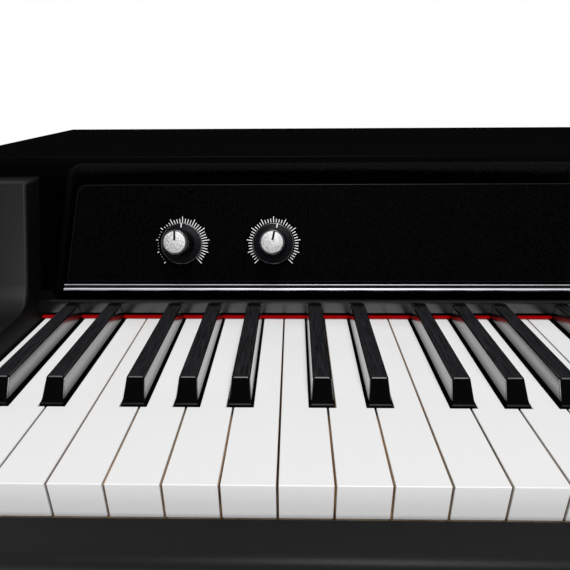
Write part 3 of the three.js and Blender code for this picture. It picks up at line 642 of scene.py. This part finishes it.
def key_stick(name, top):
    """The wooden part of a key: its CAD solid below the cover and behind the front plate."""
    bm = cad_mesh(name)
    cuts = [((0, 0, top), (0, 0, 1))]
    if not is_sharp(name):
        cuts.append(((0, KEYS_FRONT + FRONT_PLATE_THICKNESS, 0), (0, -1, 0)))
    for point, normal in cuts:
        everything = bm.verts[:] + bm.edges[:] + bm.faces[:]
        bmesh.ops.bisect_plane(bm, geom=everything, plane_co=point, plane_no=normal, clear_outer=True)
        rim = [e for e in bm.edges if e.is_boundary]
        bmesh.ops.triangle_fill(bm, edges=rim, use_beauty=True)
    merge_flat_faces(bm)
    pad_front = KEYS_FRONT + PAD_FRONT
    for face in bm.faces:
        on_pad = all(v.co.y > pad_front and v.co.z < PAD_TOP + EDGE_ROUNDING for v in face.verts)
        face.material_index = 1 if on_pad else 0
    materials = [MATERIALS["bare_wood"], MATERIALS["pad_grey"]]
    finish_piece(f"{name}_stick", bm, materials, name, [name], STICK_ROUNDING, STICK_SEGMENTS)


def mix(a, b, share):
    """The point a share of the way from one tuple to another."""
    return tuple(p + (q - p) * share for p, q in zip(a, b))


def sharp_levels(front_rise):
    """Levels up the sides and the nose and round into the top."""
    waist = SHARP_LEVELS[-1]
    corner = (front_rise, SHARP_TOP_HALF, SHARP_FRONT_SLOPE, SHARP_TOP_CORNERS)
    start = mix(corner, waist, SHARP_TOP_DROP / (front_rise - waist[0]))
    inner = SHARP_TOP_HALF - SHARP_SIDE_ROUNDING
    end = (front_rise, inner, SHARP_FRONT_SLOPE + SHARP_NOSE_ROUNDING, SHARP_TOP_CORNERS)
    levels = list(SHARP_LEVELS)
    for i in range(SHARP_CURVE_STEPS + 1):
        t = i / SHARP_CURVE_STEPS
        levels.append(mix(mix(start, corner, t), mix(corner, end, t), t))
    return levels


def sharp_surface(band, segment, count, bands):
    """The surface of a face of a sharp, from its band up the sides and its segment round the plan."""
    front = SHARP_CORNER_STEPS + 1
    waist = len(SHARP_LEVELS) - 1
    step = band - waist - 1
    if band >= bands:
        return "sharp_dull" if segment == 0 else "sharp_top"
    if band > waist and segment == front:
        return "sharp_nose" if step in SHARP_NOSE_STEPS else "sharp_dull"
    if step == SHARP_RIDGE_STEP and segment in (0, count - 2):
        return "sharp_nose"
    if step >= SHARP_TOP_STEP:
        return "sharp_top"
    if band == waist and abs(segment - front) > SHARP_CORNER_STEPS / 2:
        return "sharp_side"
    if band in SHARP_LIP_BANDS and segment == front:
        return "sharp_lip"
    # Everything else is dull; on the flare round the foot that dullness is painted shade.
    return "sharp_dull"


def sharp_cover(name):
    """A sharp: a narrow lip curving in to a body that narrows upwards and slopes back at its front."""
    low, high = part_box(name)
    centre = (low[0] + high[0]) / 2
    front, back = low[1], low[1] + SHARP_LENGTH
    front_rise = high[2] - KEY_TOP
    fall = (front_rise - SHARP_BACK_RISE) / front_rise / SHARP_LENGTH
    rings = []
    for rise, half, set_back, rounding in sharp_levels(front_rise):
        inner = half - rounding
        turn = front + set_back + rounding
        left = arc((centre - inner, turn), rounding, TO_LEFT, TO_FRONT, SHARP_CORNER_STEPS)
        right = arc((centre + inner, turn), rounding, TO_FRONT, TO_RIGHT, SHARP_CORNER_STEPS)
        plan = [(centre - half, back), *left, *right, (centre + half, back)]
        rings.append([(x, y, KEY_TOP + rise - max(0, rise) * fall * (y - front)) for x, y in plan])
    bm = bmesh.new()
    add_loft(bm, rings)
    count = len(rings[0])
    for i, face in enumerate(bm.faces):
        band, segment = divmod(i, count)
        surface = sharp_surface(band, segment, count, len(rings) - 1)
        face.material_index = SHARP_SURFACES.index(surface)
    materials = [MATERIALS[surface] for surface in SHARP_SURFACES]
    piece = finish_piece(f"{name}_cover", bm, materials, name, [name])
    piece.modifiers.new("face_normals", "WEIGHTED_NORMAL").keep_sharp = True


def make_keys():
    for name, (head, tail) in natural_places().items():
        natural_cover(name, head, tail)
        key_stick(name, KEY_TOP - COVER_THICKNESS)
    for name in KEYS:
        if is_sharp(name):
            sharp_cover(name)
            key_stick(name, KEY_TOP - SHARP_SKIRT)


# Boards and felt

def name_board():
    """A board whose gloss fades out up its rounded top as painted shade, with a recess along its lower
    front edge whose dull faces are a painted shadow line.
    """
    low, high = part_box("name_board")
    corner = (low[1] + BOARD_ROUNDING, high[2] - BOARD_ROUNDING)
    outline = [
        (low[1] + BOARD_REBATE_DEPTH, low[2]),
        (low[1] + BOARD_REBATE_DEPTH, low[2] + BOARD_REBATE_HEIGHT),
        (low[1], low[2] + BOARD_REBATE_HEIGHT),
        *arc(corner, BOARD_ROUNDING, math.pi, math.pi / 2, BOARD_CURVE_STEPS),
        (high[1], high[2]),
        (high[1], low[2]),
    ]
    bm = drawn_out(outline, low[0], high[0])
    # Faces of the recess take the dull black: a painted shadow line above the felt.
    for face in bm.faces:
        centre = face.calc_center_median()
        below_face = centre.z < low[2] + BOARD_REBATE_HEIGHT + SEAT_GAP
        behind_face = centre.y > low[1] + SEAT_GAP
        face.material_index = 1 if below_face and behind_face else 0
    materials = [MATERIALS["polished_black"], MATERIALS["painted_shade_black"]]
    finish_piece(
        "glossy_board", bm, materials, "case", ["name_board"], angle=BOARD_CREASE,
    )


def name_felt():
    """A strip with a slightly uneven front, as pressed wool has."""
    low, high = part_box("name_felt")
    columns, rows = FELT_COLUMNS, FELT_ROWS
    bottom, top = low[2] + FELT_TRIM[0], high[2] - FELT_TRIM[1]
    bm = bmesh.new()
    rings = []
    for i in range(columns + 1):
        x = low[0] + (high[0] - low[0]) * i / columns
        ring = []
        for j in range(rows + 1):
            z = bottom + (top - bottom) * j / rows
            crown = math.sin(math.pi * j / rows) * FELT_ROUNDING
            fine, slow = (math.sin(i * a + j * b) for a, b in (FELT_FINE_WAVE, FELT_SLOW_WAVE))
            ripple = fine * slow * FELT_RIPPLE
            ring.append((x, low[1] + FELT_ROUNDING - crown + abs(ripple), z))
        ring += [(x, high[1], high[2]), (x, high[1], low[2])]
        rings.append(ring)
    add_loft(bm, rings)
    finish_piece(
        "felt_strip", bm, [MATERIALS["felt_red"]], "case", ["name_felt"], angle=FELT_CREASE,
    )


def case_boards():
    for node_name, width in (
        ("bottom_board", EDGE_ROUNDING), ("left_end", CASE_ROUNDING), ("right_end", CASE_ROUNDING),
        ("key_slip", EDGE_ROUNDING), ("back_panel", EDGE_ROUNDING),
    ):
        copied(node_name, [MATERIALS["satin_black"]], "case", width)


def lid():
    """The lid, whose top, front edge and other faces differ in gloss; the dull front edge and the top's
    gloss fading towards grazing views are painted shade.
    """
    surfaces = ("lid_black", "satin_black", "painted_shade_black")
    piece = copied("lid", [MATERIALS[name] for name in surfaces], "lid", LID_ROUNDING)
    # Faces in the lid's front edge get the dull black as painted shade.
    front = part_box("lid")[0][1] + LID_FRONT_DEPTH
    for face in piece.data.polygons:
        surface = "satin_black"
        if face.normal.z > FLAT_NORMAL:
            surface = "lid_black"
        elif face.center.y < front:
            surface = "painted_shade_black"
        face.material_index = surfaces.index(surface)


# Control housing

def face_y_at(z, set_back):
    """Where the leaning face, moved back by a set-back, stands at a height."""
    return FACE_FOOT_Y + (z - FACE_FOOT_Z) * math.tan(FACE_LEAN) + set_back / math.cos(FACE_LEAN)


def hump_section(deeper, top_rounding, bottom, top, back, lip_back):
    """Points up the leaning face, round its top edge and back, as (y, z) pairs."""
    centre_z = top - top_rounding
    centre = (face_y_at(centre_z, deeper) + top_rounding / math.cos(FACE_LEAN), centre_z)
    curve = arc(centre, top_rounding, math.pi - FACE_LEAN, math.pi / 2, HUMP_TOP_STEPS)
    return [(lip_back, bottom), (face_y_at(bottom, deeper), bottom), *curve, (back, top)]


def hump_grid(thinner, bottom):
    """Sections from one end of the hump to the other, drawn in round its ends and narrowed upwards."""
    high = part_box("control_housing")[1]
    set_back = PLATE_THICKNESS + SEAT_GAP + thinner
    half = PLATE_HALF_WIDTH_AT_FOOT + HUMP_MARGIN - thinner
    rounding = HUMP_END_ROUNDING - thinner
    rings = []
    for side in (-1, 1):
        turns = [math.pi / 2 * i / HUMP_END_STEPS for i in range(HUMP_END_STEPS + 1)]
        if side > 0:
            turns.reverse()
        for turn in turns:
            drawn_in = rounding * (1 - math.sin(turn))
            x = side * (half - rounding * (1 - math.cos(turn)))
            section = hump_section(
                set_back + drawn_in, HUMP_TOP_ROUNDING - thinner - drawn_in, bottom,
                high[2] - thinner - drawn_in, high[1], KEYS_FRONT + LIP_DEPTH,
            )
            rings.append([(x * (1 - hump_narrowing(z, half)), y, z) for y, z in section])
    return rings


def hump_narrowing(z, half):
    """The share of its half width that the hump loses up to a height."""
    return (z - FACE_FOOT_Z) / math.cos(FACE_LEAN) * math.tan(HUMP_END_SLANT) / half


def control_hump():
    """A hollow shell, open at its back and its foot."""
    bm = bmesh.new()
    outer = add_loft(bm, hump_grid(0.0, FACE_FOOT_Z), closed=False, capped=False)
    inner = add_loft(bm, hump_grid(HOUSING_WALL, FACE_FOOT_Z + HOUSING_WALL), closed=False, capped=False)
    for rows in (outer, inner):
        bm.faces.new(rows[0])
        bm.faces.new(rows[-1])
    for i in range(len(outer) - 1):
        for edge in (0, -1):
            bm.faces.new((outer[i][edge], outer[i + 1][edge], inner[i + 1][edge], inner[i][edge]))
    for end in (0, -1):
        bm.faces.new((outer[end][0], outer[end][-1], inner[end][-1], inner[end][0]))
    finish_piece(
        "control_hump", bm, [MATERIALS["grained_black"]], "case", ["control_housing"],
        angle=HUMP_CREASE,
    )


def control_shoulders():
    """The set-back wall that shows at both ends of the hump."""
    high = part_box("control_housing")[1]
    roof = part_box("left_end")[1][2]
    set_back = PLATE_THICKNESS + SEAT_GAP + BASE_SET_BACK
    bottom = FACE_FOOT_Z
    for side, end in ((-1, "left"), (1, "right")):
        outline = [
            (face_y_at(bottom, set_back), bottom),
            (face_y_at(roof, set_back), roof),
            (high[1], roof),
            (high[1], roof - HOUSING_WALL),
            (face_y_at(roof - HOUSING_WALL, set_back + HOUSING_WALL), roof - HOUSING_WALL),
            (face_y_at(bottom + HOUSING_WALL, set_back + HOUSING_WALL), bottom + HOUSING_WALL),
            (KEYS_FRONT + LIP_DEPTH, bottom + HOUSING_WALL),
            (KEYS_FRONT + LIP_DEPTH, bottom),
        ]
        x0, x1 = sorted((side * SHOULDER_INNER, side * high[0]))
        bm = drawn_out(outline, x0, x1)
        finish_piece(
            f"control_shoulder_{end}", bm, [MATERIALS["grained_black"]], "case",
            ["control_housing"], EDGE_ROUNDING,
        )


# Control plate, strip, marks and knobs

def half_width_at(up):
    """Half the plate's width at a height up the leaning face."""
    return PLATE_HALF_WIDTH_AT_FOOT - up * math.tan(HUMP_END_SLANT)


def rounded_corner(corner, before, after):
    """A smooth turn at a corner between the points before and after it."""
    points = []
    for i in range(PLATE_CORNER_STEPS + 1):
        t = i / PLATE_CORNER_STEPS
        points.append(tuple(
            (1 - t) ** 2 * before[k] + 2 * t * (1 - t) * corner[k] + t * t * after[k] for k in (0, 1)
        ))
    return points


def control_plate():
    """A plate with rounded upper corners, whose edges are glossier than its face."""
    shoulder_height = PLATE_TOP - PLATE_ROUNDING
    low, high, shoulder = (half_width_at(up) for up in (PLATE_BOTTOM, PLATE_TOP, shoulder_height))
    right = rounded_corner(
        (high, PLATE_TOP), (shoulder, shoulder_height), (high - PLATE_ROUNDING, PLATE_TOP),
    )
    left = [(-x, up) for x, up in reversed(right)]
    outline = [(-low, PLATE_BOTTOM), (low, PLATE_BOTTOM), *right, *left]
    bm = bmesh.new()
    add_loft(bm, [[on_face(x, up, out) for x, up in outline] for out in (-PLATE_THICKNESS, 0.0)])
    for face in bm.faces:
        face.normal_update()
        face.material_index = 0 if abs(face.normal.dot(FACE_OUT)) > FACING_OUT else 1
    materials = [MATERIALS["fine_black"], MATERIALS["plate_edge"]]
    piece = finish_piece(
        "control_plate", bm, materials, "case", ["control_panel"], PLATE_EDGE,
        angle=PLATE_CREASE,
    )
    piece.modifiers["rounded_edges"].material = 1


def rib_outline(start, width, stand):
    """Half-round top of a rib, as (up, out) pairs."""
    centre = start + width / 2
    turns = [math.pi * i / RIB_STEPS for i in range(RIB_STEPS + 1)]
    height = stand - GROOVE_STAND
    return [(centre - width / 2 * math.cos(t), GROOVE_STAND + height * math.sin(t)) for t in turns]


def silver_strip():
    """Two silver ribs with a dark groove between them."""
    upper_start = STRIP_BOTTOM + LOWER_RIB + GROOVE
    section = [
        (STRIP_BOTTOM, -PLATE_THICKNESS),
        *rib_outline(STRIP_BOTTOM, LOWER_RIB, RIB_STAND),
        *rib_outline(upper_start, UPPER_RIB, RIB_STAND),
        (upper_start + UPPER_RIB, -PLATE_THICKNESS),
    ]
    rings = []
    for side in (-1, 1):
        rings.append([on_face(side * (half_width_at(up) + STRIP_REACH), up, out) for up, out in section])
    bm = bmesh.new()
    add_loft(bm, rings)
    groove = STRIP_BOTTOM + LOWER_RIB + GROOVE / 2
    middle = on_face(0, groove, GROOVE_STAND)
    for face in bm.faces:
        centre = face.calc_center_median()
        face.material_index = 1 if abs((centre - middle).dot(FACE_UP)) < GROOVE / 2 else 0
    materials = [MATERIALS["silver_bar"], MATERIALS["slot_black"]]
    finish_piece(
        "silver_strip", bm, materials, "case", ["trim_strip"], angle=STRIP_CREASE,
    )


def knob_matrix(x, turn):
    """Local axes at a knob: Z out of the face, Y along the pointer."""
    across = Vector((1, 0, 0))
    axes = Matrix((across, FACE_UP, FACE_OUT)).transposed().to_4x4()
    return Matrix.Translation(on_face(x, KNOB_SLANT_HEIGHT, 0.0)) @ axes @ Matrix.Rotation(turn, 4, "Z")


def add_box(bm, place, x_span, y_span, z_span):
    (x0, x1), (y0, y1) = x_span, y_span
    corners = [(x0, y0), (x1, y0), (x1, y1), (x0, y1)]
    add_loft(bm, [[place @ Vector((x, y, z)) for x, y in corners] for z in z_span])


def mark_span(share, major, growing):
    """Inner radius, outer radius and width of a mark. Growing ones start as dots at the low end."""
    outer = MARK_MAJOR_RADIUS if major else MARK_MINOR_RADIUS
    if not growing:
        return MARK_INNER_RADIUS, outer, MARK_WIDTH
    grown = min(1.0, share / FULL_MARK_SHARE) ** MARK_GROWTH_POWER
    shortest = DASH_LENGTH if major else DOT_LENGTH
    length = shortest + (outer - LONG_MARK_INNER_RADIUS - shortest) * grown
    thinnest = MARK_WIDTH if major else DOT_WIDTH
    return outer - length, outer, thinnest + (MARK_WIDTH - thinnest) * grown


def scale_marks(name, x, growing):
    """Printed marks round a knob."""
    place = knob_matrix(x, 0.0)
    bm = bmesh.new()
    for i in range(MARK_COUNT):
        share = i / (MARK_COUNT - 1)
        inner, outer, width = mark_span(share, i % MARKS_PER_MAJOR == 0, growing)
        along = place @ Matrix.Rotation(MARK_SWEEP * (1 - 2 * share), 4, "Z")
        add_box(bm, along, (-width / 2, width / 2), (inner, outer), (0.0, MARK_STAND))
    finish_piece(f"{name}_marks", bm, [MATERIALS["print_white"]], "case")


def knob(name, x, turn):
    """The grip with its skirt and hub."""
    bm = bmesh.new()
    profile = [(radius, height) for radius, height, _ in KNOB_PROFILE]
    surfaces = [KNOB_SURFACES.index(surface) for _, _, surface in KNOB_PROFILE]
    turned(bm, profile, knob_matrix(x, turn), surfaces)
    materials = [MATERIALS[f"knob_{surface}"] for surface in KNOB_SURFACES]
    finish_piece(f"{name}_grip", bm, materials, name, [name], angle=KNOB_CREASE)


def knob_pointer(name, x, turn):
    """The white line on the skirt."""
    place = knob_matrix(x, turn)
    half = POINTER_WIDTH / 2
    rings = []
    for radius, height in POINTER_LINE:
        low, high = height - POINTER_DEPTH, height + POINTER_STAND
        corners = ((-half, low), (half, low), (half, high), (-half, high))
        rings.append([place @ Vector((side, radius, z)) for side, z in corners])
    bm = bmesh.new()
    add_loft(bm, rings)
    finish_piece(f"{name}_pointer", bm, [MATERIALS["print_white"]], name)


def knob_cap(name, cap, x, turn):
    """The silver disc on a grip and the dark line cut into it."""
    place = knob_matrix(x, turn)
    bm = bmesh.new()
    turned(bm, CAP_PROFILE, place)
    finish_piece(
        f"{cap}_disc", bm, [MATERIALS["cap_silver"]], name, [cap], angle=CAP_CREASE,
    )
    bm = bmesh.new()
    half = CAP_LINE_WIDTH / 2
    add_box(bm, place, (-half, half), CAP_LINE_SPAN, CAP_LINE_HEIGHTS)
    finish_piece(f"{cap}_line", bm, [MATERIALS["slot_black"]], name)


def make_controls():
    control_plate()
    silver_strip()
    for name, cap, growing, turn in (
        ("volume_knob", "volume_cap", True, 0.0),
        ("tone_knob", "tone_cap", False, TONE_TURN),
    ):
        low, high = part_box(name)
        x = (low[0] + high[0]) / 2
        scale_marks(name, x, growing)
        knob(name, x, turn)
        knob_pointer(name, x, turn)
        knob_cap(name, cap, x, turn)


# Pieces that keep their CAD form, as (node, material, slot, rounding, segments)

PLAIN_PIECES = (
    ("key_frame", "bare_wood", "bare_wood", INNER_ROUNDING, 1),
    ("reed_rail", "reed_steel", "reed_steel", INNER_ROUNDING, 1),
    ("pickup_rail", "pickup_brown", "pickup_board", INNER_ROUNDING, 1),
    ("control_board", "circuit_board", "circuit_board", INNER_ROUNDING, 1),
    ("hinge_rod", "reed_steel", "hinge_steel", INNER_ROUNDING, 2),
    ("output_jack", "nickel", "jack_metal", INNER_ROUNDING, 2),
    ("foot_front", "rubber", "foot_rubber", EDGE_ROUNDING, ROUNDING_SEGMENTS),
    ("foot_back", "rubber", "foot_rubber", EDGE_ROUNDING, ROUNDING_SEGMENTS),
)


def plain_pieces():
    for node_name, material, slot, rounding, segments in PLAIN_PIECES:
        copied(node_name, [MATERIALS[material]], "case", rounding, segments)


# Camera, floor and light

def make_camera():
    """The photograph's camera."""
    data = bpy.data.cameras.new("camera")
    camera = bpy.data.objects.new("camera", data)
    bpy.context.scene.collection.objects.link(camera)
    data.sensor_width = SENSOR_WIDTH_MM
    data.lens = data.sensor_width * FOCAL_LENGTH_PX / PHOTO_SIZE_PX
    data.clip_start = NEAREST_SEEN
    data.clip_end = FARTHEST_SEEN
    turn = Matrix.Rotation(CAMERA_LEFT, 4, "Z") @ Matrix.Rotation(math.pi / 2 - CAMERA_DOWN, 4, "X")
    camera.matrix_world = Matrix.Translation(CAMERA_PLACE) @ turn @ Matrix.Rotation(CAMERA_ROLL, 4, "Z")
    bpy.context.scene.camera = camera


def floor_material():
    """Pale floor that keeps the shadow and fades into the white background far from the object."""
    material, tree, shader = set_up_material("floor_pale", FLOOR_LOOK)
    place = tree.nodes.new("ShaderNodeTexCoord")
    length = node(tree, "ShaderNodeVectorMath", operation="LENGTH")
    tree.links.new(place.outputs["Object"], length.inputs[0])
    fade = smooth_range(tree, length.outputs["Value"], FLOOR_FADE_START, FLOOR_FADE_END, 1.0, 0.0)
    tree.links.new(fade, shader.inputs["Alpha"])
    return material


def make_floor():
    bm = bmesh.new()
    bmesh.ops.create_circle(bm, cap_ends=True, radius=FLOOR_RADIUS, segments=FLOOR_SIDES)
    mesh = bpy.data.meshes.new("floor")
    bm.to_mesh(mesh)
    bm.free()
    mesh.materials.append(floor_material())
    floor = bpy.data.objects.new("floor", mesh)
    bpy.context.scene.collection.objects.link(floor)


def make_world():
    """Full strength for camera, glossy and transmission rays, and dim for the rest."""
    world = bpy.data.worlds.new("studio")
    bpy.context.scene.world = world
    world.use_nodes = True
    tree = world.node_tree
    background = tree.nodes["Background"]
    background.inputs["Color"].default_value = (1, 1, 1, 1)
    path = tree.nodes.new("ShaderNodeLightPath")
    strength = node(tree, "ShaderNodeMapRange")
    strength.inputs["To Min"].default_value = DIM_STUDIO
    strength.inputs["To Max"].default_value = WHITE
    seen = path.outputs["Is Camera Ray"]
    for kind in ("Is Glossy Ray", "Is Transmission Ray"):
        either = node(tree, "ShaderNodeMath", operation="MAXIMUM")
        tree.links.new(seen, either.inputs[0])
        tree.links.new(path.outputs[kind], either.inputs[1])
        seen = either.outputs[0]
    tree.links.new(seen, strength.inputs["Value"])
    tree.links.new(strength.outputs["Result"], background.inputs["Strength"])


def area_light(name, place, target, size, radiance):
    data = bpy.data.lights.new(name, "AREA")
    data.shape = "RECTANGLE"
    data.size, data.size_y = size
    data.energy = radiance * math.pi * size[0] * size[1]
    light = bpy.data.objects.new(name, data)
    bpy.context.scene.collection.objects.link(light)
    light.location = place
    light.rotation_euler = (Vector(target) - Vector(place)).to_track_quat("-Z", "Y").to_euler()


def make_lights():
    area_light("main_light", **MAIN_LIGHT)
    area_light("overhead_light", **OVERHEAD_LIGHT)


make_camera()
make_world()
make_lights()
make_floor()
make_keys()
name_board()
name_felt()
case_boards()
lid()
control_hump()
control_shoulders()
make_controls()
plain_pieces()

scene = bpy.context.scene
scene.view_settings.view_transform = "Standard"
